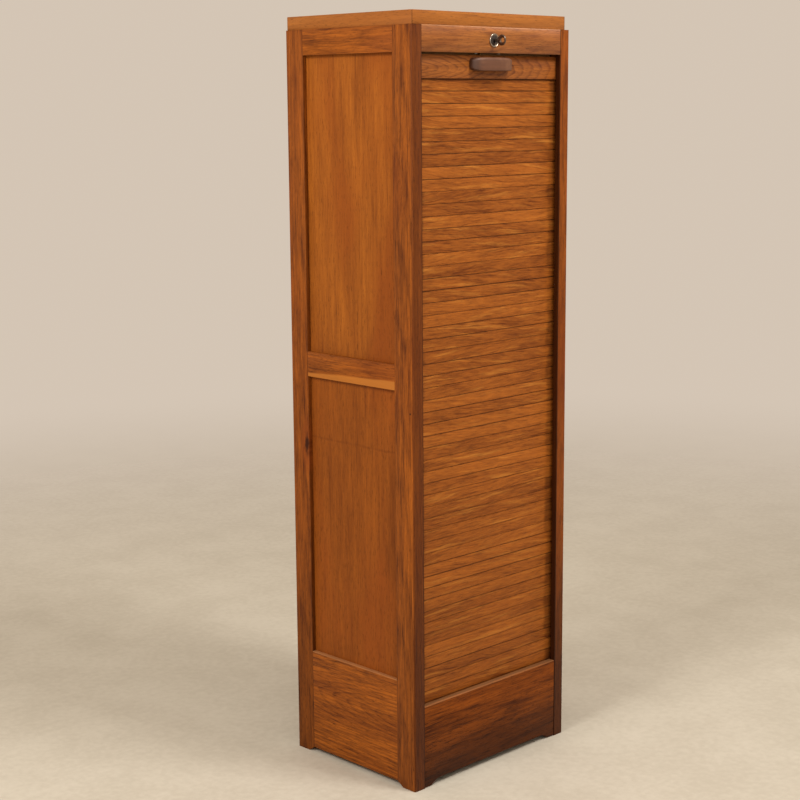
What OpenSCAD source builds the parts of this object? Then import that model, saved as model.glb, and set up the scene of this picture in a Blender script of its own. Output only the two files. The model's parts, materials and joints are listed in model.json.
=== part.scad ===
// Tall narrow oak filing cabinet with a falling tambour shutter, ten trays and a lock.
// X runs across the width, Y from front to back and Z up. The origin is on the floor,
// under the middle of the whole cabinet, its key included. The front faces -Y.

/* [Body] */
// Width of the body
body_w = 448; // [420:1:500]
// Depth of the body, front to back
body_d = 350; // [330:1:400]
// Height of the body under its top slab
body_h = 1484; // [1400:1:1600]
// Thickness of the top slab
cap_t = 26; // [20:1:34]
// Gap between the top slab and the left face of the body
cap_inset_left = 4; // [0:0.5:14]
// Gap between the top slab and the right face of the body
cap_inset_right = 12; // [0:0.5:14]
// Width of the lippings round the top slab
lipping_w = 20; // [12:1:30]

/* [Posts and rails] */
// Width of a post, seen from the front
post_w = 27; // [25:0.5:34]
// Depth of a post, seen from the side
post_d = 50; // [45:1:60]
// Chamfer on the outer corner of a post
post_chamfer = 2; // [1:0.5:4]
// Height of the top rails
top_rail_h = 49; // [46:1:60]
// Height of the lower edge of the middle rails
mid_rail_z = 801; // [700:1:900]
// Height of a middle rail
mid_rail_h = 50; // [40:1:70]
// Height of the lower edge of the base boards
base_z = 11; // [8:1:20]
// Height of the top edge of the side base boards
base_top = 221; // [190:1:240]
// Height of the top edge of the plinth board
plinth_top = 170; // [168:1:190]
// How far the side panels lie behind the frame
panel_recess = 9; // [8:0.5:9.5]

/* [Shutter] */
// Number of slats that show when the shutter is closed
slat_count = 52; // [46:1:58]
// Number of slats that stay behind the plinth board
tail_slats = 2; // [1:1:3]
// Thickness of a slat
slat_t = 8; // [6:0.5:9]
// Gap between two slats
slat_gap = 0.4; // [0.3:0.1:1]
// Height of the lead slat
lead_h = 44; // [40:1:50]
// Thickness of the lead slat
lead_t = 13; // [11:0.5:13.5]
// Gap between the closed lead slat and the top rail
lead_gap = 4; // [2:0.5:5]
// Width of the track that the shutter runs in
track_w = 15; // [14:0.5:16]
// Depth of the track
track_depth = 8; // [6:0.5:8]
// Radius of the track's middle line at the bottom corners
track_r = 45; // [40:1:60]
// Length of the handle
handle_w = 112; // [90:2:140]
// Height of the handle
handle_h = 26; // [20:1:30]
// How far the handle stands out from the lead slat
handle_out = 20.5; // [16:0.5:26]

/* [Trays] */
// Height of a tray
tray_h = 60; // [40:1:80]
// Thickness of the tray sides
tray_side = 8; // [6:1:10]

/* [Lock] */
// Travel of the bolt
bolt_throw = 10; // [8:0.5:10]
// Radius of the round rose
rose_r = 13; // [11:0.5:14]
// Radius of the key's bow
bow_r = 10.5; // [9:0.5:12]
// How far the middle of the bow is from the front face
bow_out = 20.5; // [18:0.5:24]

/* [Hidden] */

eps = 0.5;                       // how far a cutter runs past a face
half_w = body_w / 2;
inner = half_w - post_w;         // from the middle to the inner face of a post
key_reach = bow_out + bow_r;
front_y = (key_reach - body_d) / 2;
rail_z = body_h - top_rail_h;

// side frames
rail_t = 18;
base_t = 16;
panel_t = 5;
panel_tongue = 7.5;
groove_play = 0.1;
tenon_l = 18;
tenon_t = 7;
tenon_inset = 7;                 // from the outer face to the tenon
foot_bevel = 16;
ear_flat = 20;                   // flat part of a plinth ear, beyond the post
ear_slope = 17;

// shutter track, as a U seen from the side
track_front = 11;
track_y0 = track_front + track_w / 2;
track_y1 = body_d - 24.5;
track_z = 40;

// shutter
lead_y = track_front + 1;
lead_top = rail_z - lead_gap;
lead_z = lead_top - lead_h;
slat_y = lead_y + 4;
slat_pitch = (lead_z - plinth_top) / slat_count;
slat_end = inner + track_depth - 1;
slat_chamfer = 1.2;
canvas_t = 0.8;
canvas_w = 2 * inner - 34;
handle_z = lead_z + 14;
handle_corner = 14;
handle_wall = 6.5;
handle_end = 18;
handle_screw_x = handle_w / 2 - 9;
screw_r = 1.9;
screw_play = 0.1;
screw_head_r = 4;
screw_head_h = 2.4;

// inside
rail_depth = 28;
plinth_t = 14;
floor_t = 15;
floor_z = 150;
ceiling_z = rail_z - 5;
ceiling_t = 12;
false_back_y = 306;
false_back_t = 4;
back_y = body_d - 10;
back_t = 4;
rear_rail_t = 15;
rear_rail_h = 80;
block = 25;

// trays
tray_count = 10;                 // one node each
tray_w = 2 * inner - 6;
tray_y = 33;
tray_back = 301;
tray_front_t = 12;
tray_floor = 5;
glue_line = 0.1;                 // between the boards of a tray
runner_w = 12;
runner_h = 10;
tray_z0 = floor_z + floor_t + 24;
tray_pitch = (ceiling_z - tray_z0) / tray_count;
scoop_r = 60;
scoop_depth = 22;
label_w = 64;
label_h = 22;
label_t = 1.2;
label_rim = 4;

// lock, measured back from the front face
lock_z = body_h - top_rail_h / 2 - 0.5;
case_y = 10;
case_t = 16;
case_w = 56;
case_wall = 1.5;
case_top = body_h - 7;
forend_w = 72;
hub_y = 14.8;
hub_t = 3.4;
hub_r = 12.2;
pin_r = 1.5;
pivot_r = 3;
bolt_y = 18.6;
bolt_t = 3;
bolt_play = 0.3;
bolt_top = lock_z + 5.5;
bolt_bottom = lock_z - 14.5;
bolt_left = -8.4;
bolt_right = 16.5;
nose_tip = -16;
nose_h = 7;
slack = 2.2;                     // a turning pin leaves the straight line by this much
bit_r = 8;
bit_t = 2.2;
shank_r = 2.75;
rose_t = 2.5;
key_end = hub_y + 2.2;           // the key reaches this far into the hub

// staple on the lead slat that the bolt passes through
staple_x = -22.5;
staple_t = 3;
staple_y0 = 15;
staple_y1 = 24;
staple_bar = 3.5;
eye_play = 0.6;
staple_base_w = 30;
staple_base_t = 1.5;

// A block between two corners, with y measured back from the front face.
module slab(x0, x1, y0, y1, z0, z1)
    translate([x0, front_y + y0, z0]) cube([x1 - x0, y1 - y0, z1 - z0]);

module mirrored() mirror([1, 0, 0]) children();

// A round bar along y.
module rod(x, z, r, y0, y1)
    translate([x, front_y + y0, z]) rotate([-90, 0, 0]) cylinder(r = r, h = y1 - y0, $fn = 48);

// An outline in y and z, pushed along x.
module side_profile(x0, x1)
    translate([x0, front_y, 0]) rotate([90, 0, 90]) linear_extrude(x1 - x0) children();

// ---- shutter track ----

module track_loop(half) {
    r = track_r + half;
    y0 = track_y0 - half;
    y1 = track_y1 + half;
    z0 = track_z - half;
    translate([y0, z0 + r]) square([y1 - y0, body_h]);
    translate([y0 + r, z0]) square([y1 - y0 - 2 * r, body_h]);
    for (y = [y0 + r, y1 - r]) translate([y, z0 + r]) circle(r = r, $fn = 96);
}

module left_track()
    side_profile(-inner - track_depth, -inner + eps) difference() {
        track_loop(track_w / 2);
        track_loop(-track_w / 2);
    }

// ---- side frames, drawn on the left ----

// The tenons of a rail between two posts, at both ends.
module side_tenons(z0, z1)
    for (y = [post_d - tenon_l, body_d - post_d])
        slab(-half_w + tenon_inset, -half_w + tenon_inset + tenon_t, y, y + tenon_l, z0, z1);

module all_side_tenons() {
    side_tenons(rail_z + 10, body_h - 8);
    side_tenons(mid_rail_z + 10, mid_rail_z + mid_rail_h - 10);
    side_tenons(base_z + 30, base_top - 30);
}

// The grooves that hold the edges of a panel.
module panel_groove(z0, z1)
    slab(-half_w + panel_recess - groove_play, -half_w + panel_recess + panel_t + groove_play,
        post_d - 8, body_d - post_d + 8, z0 - 8, z1 + 8);

module all_panel_grooves() {
    panel_groove(base_top, mid_rail_z);
    panel_groove(mid_rail_z + mid_rail_h, rail_z);
}

module side_panel(z0, z1)
    slab(-half_w + panel_recess, -half_w + panel_recess + panel_t,
        post_d - panel_tongue, body_d - post_d + panel_tongue,
        z0 - panel_tongue, z1 + panel_tongue);

module side_rail(z0, z1)
    difference() {
        slab(-half_w, -half_w + rail_t, post_d, body_d - post_d, z0, z1);
        all_panel_grooves();
    }

module post_outline() {
    c = post_chamfer;
    polygon([[c, 0], [post_w, 0], [post_w, post_d], [0, post_d], [0, c]]);
}

module foot_outline()
    polygon([[0, 0], [post_d - foot_bevel, 0], [post_d, base_z], [post_d, body_h], [0, body_h]]);

module post_blank()
    intersection() {
        translate([-half_w, front_y, 0]) linear_extrude(body_h) post_outline();
        side_profile(-half_w, -inner) foot_outline();
    }

module front_post()
    difference() {
        post_blank();
        left_track();
        all_side_tenons();
        all_panel_grooves();
        front_tenons();
    }

module rear_post()
    difference() {
        translate([0, 2 * front_y + body_d, 0]) mirror([0, 1, 0]) post_blank();
        left_track();
        all_side_tenons();
        all_panel_grooves();
        rear_tenons();
        back_panel_groove();
    }

module front_left_post() color("#8a5226") front_post();
module front_right_post() color("#8a5226") mirrored() front_post();
module rear_left_post() color("#8a5226") rear_post();
module rear_right_post() color("#8a5226") mirrored() rear_post();

module top_rail_side() {
    side_rail(rail_z, body_h);
    side_tenons(rail_z + 10, body_h - 8);
}
module left_top_rail() color("#94592a") top_rail_side();
module right_top_rail() color("#94592a") mirrored() top_rail_side();

module mid_rail_side() {
    side_rail(mid_rail_z, mid_rail_z + mid_rail_h);
    side_tenons(mid_rail_z + 10, mid_rail_z + mid_rail_h - 10);
}
module left_mid_rail() color("#a0632f") mid_rail_side();
module right_mid_rail() color("#a0632f") mirrored() mid_rail_side();

module base_board_side() {
    difference() {
        slab(-half_w, -half_w + base_t, post_d, body_d - post_d, base_z, base_top);
        all_panel_grooves();
    }
    side_tenons(base_z + 30, base_top - 30);
}
module left_base_board() color("#8a5226") base_board_side();
module right_base_board() color("#8a5226") mirrored() base_board_side();

module left_upper_panel() color("#b06f33") side_panel(mid_rail_z + mid_rail_h, rail_z);
module left_lower_panel() color("#b06f33") side_panel(base_top, mid_rail_z);
module right_upper_panel() color("#b06f33") mirrored() side_panel(mid_rail_z + mid_rail_h, rail_z);
module right_lower_panel() color("#b06f33") mirrored() side_panel(base_top, mid_rail_z);

// Boards between the posts that carry the bottom of the track.
module track_board()
    difference() {
        slab(-half_w + base_t, -inner, post_d, body_d - post_d, base_z, floor_z);
        left_track();
    }
module left_track_board() color("#9c6a3c") track_board();
module right_track_board() color("#9c6a3c") mirrored() track_board();

// ---- front ----

// The left tenons of the front rail and the plinth board, in the lip before the track.
module front_tenons() {
    slab(-inner - 10, -inner, 3, 9, rail_z + 6, body_h - 8);
    slab(-inner - 10, -inner, 3, 9, base_z + 20, plinth_top - 20);
}

module both_sides() {
    children();
    mirrored() children();
}

module keyhole(z, r, slot_r, half, y0, y1) {
    rod(0, z, r, y0, y1);
    slab(-half, half, y0, y1, z - slot_r, z);
}

module front_top_rail()
    color("#94592a") {
        difference() {
            slab(-inner, inner, 0, rail_depth, rail_z, body_h);
            slab(-case_w / 2 - 0.5, case_w / 2 + 0.5, case_y - 0.2, rail_depth + eps,
                rail_z - eps, case_top + 1);
            slab(-forend_w / 2 - 0.5, forend_w / 2 + 0.5, case_y - 0.2, case_y + case_t + 0.2,
                rail_z - eps, rail_z + case_wall);
            keyhole(lock_z, 5, bit_r + 1.5, 2.5, -eps, case_y);
            for (x = [-1, 1])
                translate([x * (forend_w / 2 - 4), front_y + case_y + case_t / 2, rail_z])
                    cylinder(r = screw_r + screw_play, h = 16, $fn = 32);
        }
        both_sides() slab(-inner - 10, -inner, 3, 9, rail_z + 6, body_h - 8);
    }

// The ears stand on the floor beside the posts and the lower edge is raised between them.
module plinth_outline() {
    e0 = inner - ear_flat;
    e1 = e0 - ear_slope;
    polygon([[-inner, 1], [-e0, 1], [-e1, base_z], [e1, base_z], [e0, 1], [inner, 1],
        [inner, plinth_top], [-inner, plinth_top]]);
}

module plinth_board()
    color("#7a4320") {
        translate([0, front_y + 0.5 + plinth_t, 0]) rotate([90, 0, 0])
            linear_extrude(plinth_t) plinth_outline();
        both_sides() slab(-inner - 10, -inner, 3, 9, base_z + 20, plinth_top - 20);
    }

// ---- back ----

module rear_tenon(z0, z1)
    slab(-inner - 10, -inner, body_d - rear_rail_t + 3, body_d - 5, z0, z1);

module rear_tenons() {
    rear_tenon(body_h - rear_rail_h + 12, body_h - 10);
    rear_tenon(mid_rail_z + 12, mid_rail_z + mid_rail_h - 12);
    rear_tenon(base_z + 20, floor_z - 12);
}

module back_groove(z0, z1)
    slab(-inner - 8, inner + 8, back_y - groove_play, back_y + back_t + groove_play, z0 - 8, z1 + 8);

module back_panel_groove() {
    back_groove(floor_z, mid_rail_z);
    back_groove(mid_rail_z + mid_rail_h, body_h - rear_rail_h);
}

module rear_rail(z0, z1)
    difference() {
        slab(-inner, inner, body_d - rear_rail_t, body_d, z0, z1);
        back_panel_groove();
    }

module rear_top_rail() color("#8a5226") {
    rear_rail(body_h - rear_rail_h, body_h);
    both_sides() rear_tenon(body_h - rear_rail_h + 12, body_h - 10);
}
module rear_mid_rail() color("#8a5226") {
    rear_rail(mid_rail_z, mid_rail_z + mid_rail_h);
    both_sides() rear_tenon(mid_rail_z + 12, mid_rail_z + mid_rail_h - 12);
}
module rear_base_rail() color("#7a4320") {
    rear_rail(base_z, floor_z);
    both_sides() rear_tenon(base_z + 20, floor_z - 12);
}

module back_panel(z0, z1)
    slab(-inner - panel_tongue, inner + panel_tongue, back_y, back_y + back_t,
        z0 - panel_tongue, z1 + panel_tongue);
module back_upper_panel() color("#a56a35") back_panel(mid_rail_z + mid_rail_h, body_h - rear_rail_h);
module back_lower_panel() color("#a56a35") back_panel(floor_z, mid_rail_z);

// ---- inside boards ----

module floor_board()
    color("#a9733f") slab(-inner, inner, rail_depth, false_back_y + false_back_t, floor_z, floor_z + floor_t);

module ceiling_board()
    color("#a9733f") slab(-inner, inner, rail_depth, false_back_y + false_back_t,
        ceiling_z, ceiling_z + ceiling_t);

module false_back()
    color("#b07d48") slab(-inner, inner, false_back_y, false_back_y + false_back_t,
        floor_z + floor_t, ceiling_z);

module glue_block(y)
    translate([-inner, front_y + y, floor_z]) rotate([-90, 0, 0])
        linear_extrude(2 * block) polygon([[0, 0], [block, 0], [0, block]]);

module glue_blocks()
    color("#c09a63") both_sides() for (y = [60, body_d - 60 - 2 * block]) glue_block(y);

// ---- top slab ----

cap_x0 = -half_w + cap_inset_left;
cap_x1 = half_w - cap_inset_right;
cap_y0 = 2;
cap_y1 = body_d - 1;

cap_in_x0 = cap_x0 + lipping_w;  // inner edges of the lippings
cap_in_x1 = cap_x1 - lipping_w;
cap_in_y0 = cap_y0 + lipping_w;
cap_in_y1 = cap_y1 - lipping_w;

module cap_board()
    color("#9a602d") slab(cap_in_x0, cap_in_x1, cap_in_y0, cap_in_y1, body_h, body_h + cap_t);

// A strip of edging, mitred at both ends, from its outline seen from above.
module lipping(outline)
    color("#94592a") translate([0, front_y, body_h]) linear_extrude(cap_t) polygon(outline);

module cap_left_lipping()
    lipping([[cap_x0, cap_y0], [cap_in_x0, cap_in_y0], [cap_in_x0, cap_in_y1], [cap_x0, cap_y1]]);
module cap_right_lipping()
    lipping([[cap_x1, cap_y0], [cap_x1, cap_y1], [cap_in_x1, cap_in_y1], [cap_in_x1, cap_in_y0]]);
module cap_front_lipping()
    lipping([[cap_x0, cap_y0], [cap_x1, cap_y0], [cap_in_x1, cap_in_y0], [cap_in_x0, cap_in_y0]]);
module cap_back_lipping()
    lipping([[cap_x0, cap_y1], [cap_in_x0, cap_in_y1], [cap_in_x1, cap_in_y1], [cap_x1, cap_y1]]);

// ---- trays ----

function tray_z(i) = tray_z0 + (i - 1) * tray_pitch;

module tray_runners()
    for (i = [1:tray_count])
        slab(-inner, -inner + runner_w, 30, 304, tray_z(i) - runner_h, tray_z(i));
module left_tray_runners() color("#b98a52") tray_runners();
module right_tray_runners() color("#b98a52") mirrored() tray_runners();

// A floor, two sides, a low back and a front with a finger scoop.
module tray(i) {
    w = tray_w / 2;
    z = tray_z(i);
    wall_z = z + tray_floor + glue_line;
    top = z + tray_h;
    color("#b5834b") {
        slab(-w, w, tray_y, tray_back, z, z + tray_floor);
        both_sides()
            slab(-w, -w + tray_side, tray_y + tray_front_t + glue_line, tray_back - tray_side - glue_line,
                wall_z, top);
        slab(-w, w, tray_back - tray_side, tray_back, wall_z, top - 10);
        difference() {
            slab(-w, w, tray_y, tray_y + tray_front_t, wall_z, top);
            rod(0, top + scoop_r - scoop_depth, scoop_r, tray_y - eps, tray_y + tray_front_t + eps);
        }
    }
}

module label_holders()
    color("#b08d4a") for (i = [1:tray_count]) {
        z = tray_z(i) + tray_floor + 5;
        difference() {
            slab(-label_w / 2, label_w / 2, tray_y - label_t, tray_y, z, z + label_h);
            slab(-label_w / 2 + label_rim, label_w / 2 - label_rim, tray_y - label_t - eps, tray_y + eps,
                z + label_rim, z + label_h - label_rim);
        }
    }

// ---- shutter ----

module slat_outline(z0, z1) {
    c = slat_chamfer;
    polygon([[slat_y + c, z0], [slat_y, z0 + c], [slat_y, z1 - c], [slat_y + c, z1],
        [slat_y + slat_t, z1], [slat_y + slat_t, z0]]);
}

module curtain_slats()
    color("#9c602c") side_profile(-slat_end, slat_end)
        for (i = [0:slat_count + tail_slats - 1])
            slat_outline(lead_z - (i + 1) * slat_pitch + slat_gap / 2, lead_z - i * slat_pitch - slat_gap / 2);

module curtain_canvas()
    color("#b9ab8c") slab(-canvas_w / 2, canvas_w / 2, slat_y + slat_t, slat_y + slat_t + canvas_t,
        lead_z - (slat_count + tail_slats) * slat_pitch + 1, lead_z - 1);

module lead_slat()
    color("#94592a") difference() {
        slab(-slat_end, slat_end, lead_y, lead_y + lead_t, lead_z, lead_top);
        staple_base(eps);
        for (x = [-handle_screw_x, handle_screw_x]) {
            rod(x, handle_z + handle_h / 2, screw_r + screw_play, lead_y - eps, lead_y + lead_t + eps);
            rod(x, handle_z + handle_h / 2, screw_head_r + screw_play, lead_y + lead_t - screw_head_h,
                lead_y + lead_t + eps);
        }
    }

// The foot of the staple, let into the top edge of the lead slat.
module staple_base(over)
    slab(staple_x + (staple_t - staple_base_w) / 2, staple_x + (staple_t + staple_base_w) / 2,
        staple_y0 - 1, staple_y1 + 0.5, lead_top - staple_base_t, lead_top + over);

module handle_outline() {
    w = handle_w / 2;
    r = handle_corner;
    y0 = lead_y - handle_out;
    translate([-w, y0 + r]) square([2 * w, handle_out - r]);
    translate([-w + r, y0]) square([2 * (w - r), handle_out]);
    intersection() {
        for (x = [-w + r, w - r]) translate([x, y0 + r]) circle(r = r, $fn = 64);
        translate([-w, y0]) square([2 * w, r]);
    }
}

// A bar with round ends, hollow underneath for the fingers.
module handle()
    color("#4a2a1a") difference() {
        translate([0, front_y, handle_z]) linear_extrude(handle_h) handle_outline();
        slab(-handle_w / 2 + handle_end, handle_w / 2 - handle_end, lead_y - handle_out + handle_wall,
            lead_y + eps, handle_z - eps, handle_z + handle_h - handle_wall);
        for (x = [-handle_screw_x, handle_screw_x])
            rod(x, handle_z + handle_h / 2, screw_r + screw_play, lead_y - 10, lead_y + eps);
    }

module handle_screws()
    color("#8d8a84") for (x = [-handle_screw_x, handle_screw_x]) {
        rod(x, handle_z + handle_h / 2, screw_r, lead_y - 9, lead_y + lead_t - 1);
        difference() {
            rod(x, handle_z + handle_h / 2, screw_head_r, lead_y + lead_t - screw_head_h + 0.1, lead_y + lead_t);
            slab(x - screw_head_r - eps, x + screw_head_r + eps, lead_y + lead_t - 1, lead_y + lead_t + eps,
                handle_z + handle_h / 2 - 0.5, handle_z + handle_h / 2 + 0.5);
        }
    }

// An upright staple with an eye for the bolt.
module lock_staple()
    color("#a8925a") {
        staple_base(0);
        difference() {
            slab(staple_x, staple_x + staple_t, staple_y0, staple_y1, lead_top - 0.1,
                bolt_top + eye_play + staple_bar);
            slab(staple_x - eps, staple_x + staple_t + eps, bolt_y - eye_play, bolt_y + bolt_t + eye_play,
                rail_z + 2, bolt_top + eye_play);
        }
    }

// ---- lock ----

module rose()
    color("#b9ab8f") difference() {
        union() {
            rod(0, lock_z, rose_r, -1.2, 0);
            rod(0, lock_z, rose_r - 1.6, -rose_t, -1.2);
        }
        rod(0, lock_z, rose_r - 4, -rose_t - eps, -1.4);
        keyhole(lock_z, shank_r + 0.4, bit_r + 0.6, bit_t / 2 + 0.4, -rose_t - eps, eps);
    }

module lock_case()
    color("#8f8b82") difference() {
        union() {
            slab(-case_w / 2, case_w / 2, case_y, case_y + case_t, rail_z, case_top);
            slab(-forend_w / 2, forend_w / 2, case_y, case_y + case_t, rail_z, rail_z + case_wall);
        }
        slab(-case_w / 2 + case_wall, case_w / 2 - case_wall, case_y + case_wall, case_y + case_t - case_wall,
            rail_z + 2 * case_wall, case_top - case_wall);
        keyhole(lock_z, shank_r + 0.6, bit_r + 0.8, bit_t / 2 + 0.6, case_y - eps, case_y + case_wall + eps);
        rod(0, lock_z, pivot_r + 0.05, case_y + case_t - case_wall - eps, case_y + case_t + eps);
        slab(staple_x - 0.4, staple_x + staple_t + 0.4, staple_y0 - 0.4, staple_y1 + 0.4,
            rail_z - eps, rail_z + 2 * case_wall + eps);
        for (x = [-1, 1])
            translate([x * (forend_w / 2 - 4), front_y + case_y + case_t / 2, rail_z - eps])
                cylinder(r = screw_r + screw_play, h = case_wall + 2 * eps, $fn = 32);
    }

module lock_screws()
    color("#8d8a84") for (x = [-1, 1])
        translate([x * (forend_w / 2 - 4), front_y + case_y + case_t / 2, rail_z - 1])
            difference() {
                union() {
                    cylinder(r = 3.2, h = 1, $fn = 32);
                    cylinder(r = screw_r, h = 14, $fn = 32);
                }
                translate([-4, -0.4, -eps]) cube([8, 0.8, 0.5 + eps]);
            }

// A flat bolt that slides to the left, with a slot for the pivot and one for the crank pin.
module lock_bolt()
    color("#9a948a") difference() {
        union() {
            slab(bolt_left, bolt_right, bolt_y, bolt_y + bolt_t, bolt_bottom, bolt_top);
            slab(nose_tip, bolt_left + 1, bolt_y, bolt_y + bolt_t, bolt_top - nose_h, bolt_top);
        }
        slab(-pivot_r - bolt_play, bolt_throw + pivot_r + bolt_play, bolt_y - eps, bolt_y + bolt_t + eps,
            lock_z - pivot_r - bolt_play, lock_z + pivot_r + bolt_play);
        slab(-pin_r - bolt_play - slack, pin_r + bolt_play, bolt_y - eps, bolt_y + bolt_t + eps,
            lock_z - bolt_throw - pin_r - bolt_play, lock_z);
    }

// A disc that the key turns, with its pivot in the case and a crank pin in the bolt.
module lock_hub()
    color("#a8925a") difference() {
        union() {
            rod(0, lock_z, hub_r, hub_y, hub_y + hub_t);
            rod(0, lock_z, pivot_r, hub_y + hub_t - 0.1, case_y + case_t - 0.1);
            rod(0, lock_z - bolt_throw, pin_r, hub_y + hub_t - 0.1, bolt_y + bolt_t);
        }
        keyhole(lock_z, shank_r + 0.15, bit_r + 0.3, bit_t / 2 + 0.15, hub_y - eps, key_end + 0.1);
    }

module key()
    color("#6e5a48") {
        rod(0, lock_z, shank_r, -bow_out + bow_r - 2, key_end);
        rod(0, lock_z, 4.2, -bow_out + bow_r - 1.2, -bow_out + bow_r + 1.2);
        slab(-bit_t / 2, bit_t / 2, case_y + case_wall + 0.8, key_end, lock_z - bit_r, lock_z - shank_r + 1);
        difference() {
            translate([-1.6, front_y - bow_out, lock_z]) rotate([0, 90, 0])
                cylinder(r = bow_r, h = 3.2, $fn = 64);
            translate([-5, front_y - bow_out - 2.5, lock_z]) rotate([0, 90, 0])
                cylinder(r = 4.4, h = 10, $fn = 48);
        }
    }

front_left_post();
front_right_post();
rear_left_post();
rear_right_post();
left_top_rail();
left_mid_rail();
left_base_board();
right_top_rail();
right_mid_rail();
right_base_board();
left_upper_panel();
left_lower_panel();
right_upper_panel();
right_lower_panel();
left_track_board();
right_track_board();
front_top_rail();
plinth_board();
rear_top_rail();
rear_mid_rail();
rear_base_rail();
back_upper_panel();
back_lower_panel();
floor_board();
ceiling_board();
false_back();
glue_blocks();
cap_board();
cap_left_lipping();
cap_right_lipping();
cap_front_lipping();
cap_back_lipping();
left_tray_runners();
right_tray_runners();
for (i = [1:tray_count]) tray(i);
label_holders();
lead_slat();
curtain_slats();
curtain_canvas();
handle();
handle_screws();
rose();
lock_case();
lock_screws();
lock_bolt();
lock_hub();
key();
lock_staple();
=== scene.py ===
import json
import math
import random

import bmesh
import bpy
from mathutils import Matrix, Vector, noise

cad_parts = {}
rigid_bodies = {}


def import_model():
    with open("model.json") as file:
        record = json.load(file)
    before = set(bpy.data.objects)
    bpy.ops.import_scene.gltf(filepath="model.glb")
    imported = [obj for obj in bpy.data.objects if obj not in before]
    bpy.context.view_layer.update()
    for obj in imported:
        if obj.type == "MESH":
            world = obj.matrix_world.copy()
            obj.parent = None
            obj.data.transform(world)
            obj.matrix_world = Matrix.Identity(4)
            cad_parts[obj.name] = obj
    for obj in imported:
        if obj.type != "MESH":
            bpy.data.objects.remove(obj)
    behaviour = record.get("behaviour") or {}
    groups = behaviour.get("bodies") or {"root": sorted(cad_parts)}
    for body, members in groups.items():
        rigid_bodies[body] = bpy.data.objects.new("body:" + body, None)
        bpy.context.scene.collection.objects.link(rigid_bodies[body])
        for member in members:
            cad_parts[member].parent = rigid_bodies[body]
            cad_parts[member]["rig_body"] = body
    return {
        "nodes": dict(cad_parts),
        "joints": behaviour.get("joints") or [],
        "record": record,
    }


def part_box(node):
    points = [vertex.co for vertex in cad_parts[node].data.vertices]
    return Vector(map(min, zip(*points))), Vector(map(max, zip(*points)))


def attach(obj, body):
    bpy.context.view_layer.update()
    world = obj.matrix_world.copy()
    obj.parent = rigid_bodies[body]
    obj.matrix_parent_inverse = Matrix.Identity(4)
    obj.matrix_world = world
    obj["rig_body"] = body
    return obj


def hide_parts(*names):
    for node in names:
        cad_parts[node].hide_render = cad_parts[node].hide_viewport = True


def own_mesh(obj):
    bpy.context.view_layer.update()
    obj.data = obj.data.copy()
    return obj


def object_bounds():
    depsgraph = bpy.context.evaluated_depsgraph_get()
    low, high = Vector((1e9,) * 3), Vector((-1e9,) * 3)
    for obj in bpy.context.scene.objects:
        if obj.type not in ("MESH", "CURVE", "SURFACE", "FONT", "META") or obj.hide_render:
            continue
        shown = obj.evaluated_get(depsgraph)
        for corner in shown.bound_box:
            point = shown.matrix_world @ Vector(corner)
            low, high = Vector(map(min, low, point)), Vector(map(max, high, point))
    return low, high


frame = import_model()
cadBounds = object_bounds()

slotOf = {s["node"]: s["material_slot"] for s in frame["record"]["subparts"]}
bodyOf = {node: obj["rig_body"] for node, obj in frame["nodes"].items()}


def millimetres(value):
    return value / 1000


def blend(low, high, share):
    return low + (high - low) * share


cameraView = {
    "place": (-2.394, -2.340, 1.339),   # metres, in the cabinet's own frame
    "heading": 45.6,                    # degrees from the cabinet's width towards its depth
    "down": 10.14,
    "roll": -0.42,
    "lens": 74.3,
}


def addCamera(view):
    heading, down, roll = (math.radians(view[k]) for k in ("heading", "down", "roll"))
    ahead = Vector((math.cos(heading) * math.cos(down), math.sin(heading) * math.cos(down), -math.sin(down)))
    level = Vector((math.sin(heading), -math.cos(heading), 0))
    upright = level.cross(ahead)
    right = level * math.cos(roll) + upright * math.sin(roll)
    up = upright * math.cos(roll) - level * math.sin(roll)
    data = bpy.data.cameras.new("camera")
    data.lens = view["lens"]
    data.sensor_width = 36
    data.clip_end = 100
    camera = bpy.data.objects.new("camera", data)
    turn = Matrix((right, up, -ahead)).transposed().to_4x4()
    camera.matrix_world = Matrix.Translation(Vector(view["place"])) @ turn
    bpy.context.scene.collection.objects.link(camera)
    bpy.context.scene.camera = camera


addCamera(cameraView)
print("camera placed")

studio = {
    "air": (0.66, 0.56, 0.46),      # colour of the light from all round, and of the backdrop
    "aim": 0.55,                    # where the lamps point, as a share of the cabinet's height
    "lamps": {
        # name: place in metres, width in metres, watts
        "frontLamp": ((0.5, -1.9, 3.5), 0.8, 74),
        "sideLamp": ((-4.2, -0.4, 3.9), 1.6, 160),
        "fillLamp": ((-2.6, -3.0, 2.2), 2.2, 28),
    },
    "white": (1.0, 0.97, 0.93),
}


def addLight(name, place, aim, size, power, colour):
    data = bpy.data.lights.new(name, "AREA")
    data.size = size
    data.energy = power
    data.color = colour
    lamp = bpy.data.objects.new(name, data)
    lamp.location = place
    lamp.rotation_euler = (Vector(aim) - Vector(place)).to_track_quat("-Z", "Y").to_euler()
    bpy.context.scene.collection.objects.link(lamp)


def lightStudio(s):
    low, high = cadBounds
    middle = (0, 0, blend(low[2], high[2], s["aim"]))
    for name, (place, size, power) in s["lamps"].items():
        addLight(name, place, middle, size, power, s["white"])
    world = bpy.data.worlds.new("studioAir")
    world.use_nodes = True
    air = world.node_tree.nodes["Background"]
    air.inputs["Color"].default_value = (*s["air"], 1)
    bpy.context.scene.world = world
    bpy.context.scene.view_settings.view_transform = "Standard"


lightStudio(studio)
print("lights placed")


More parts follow.
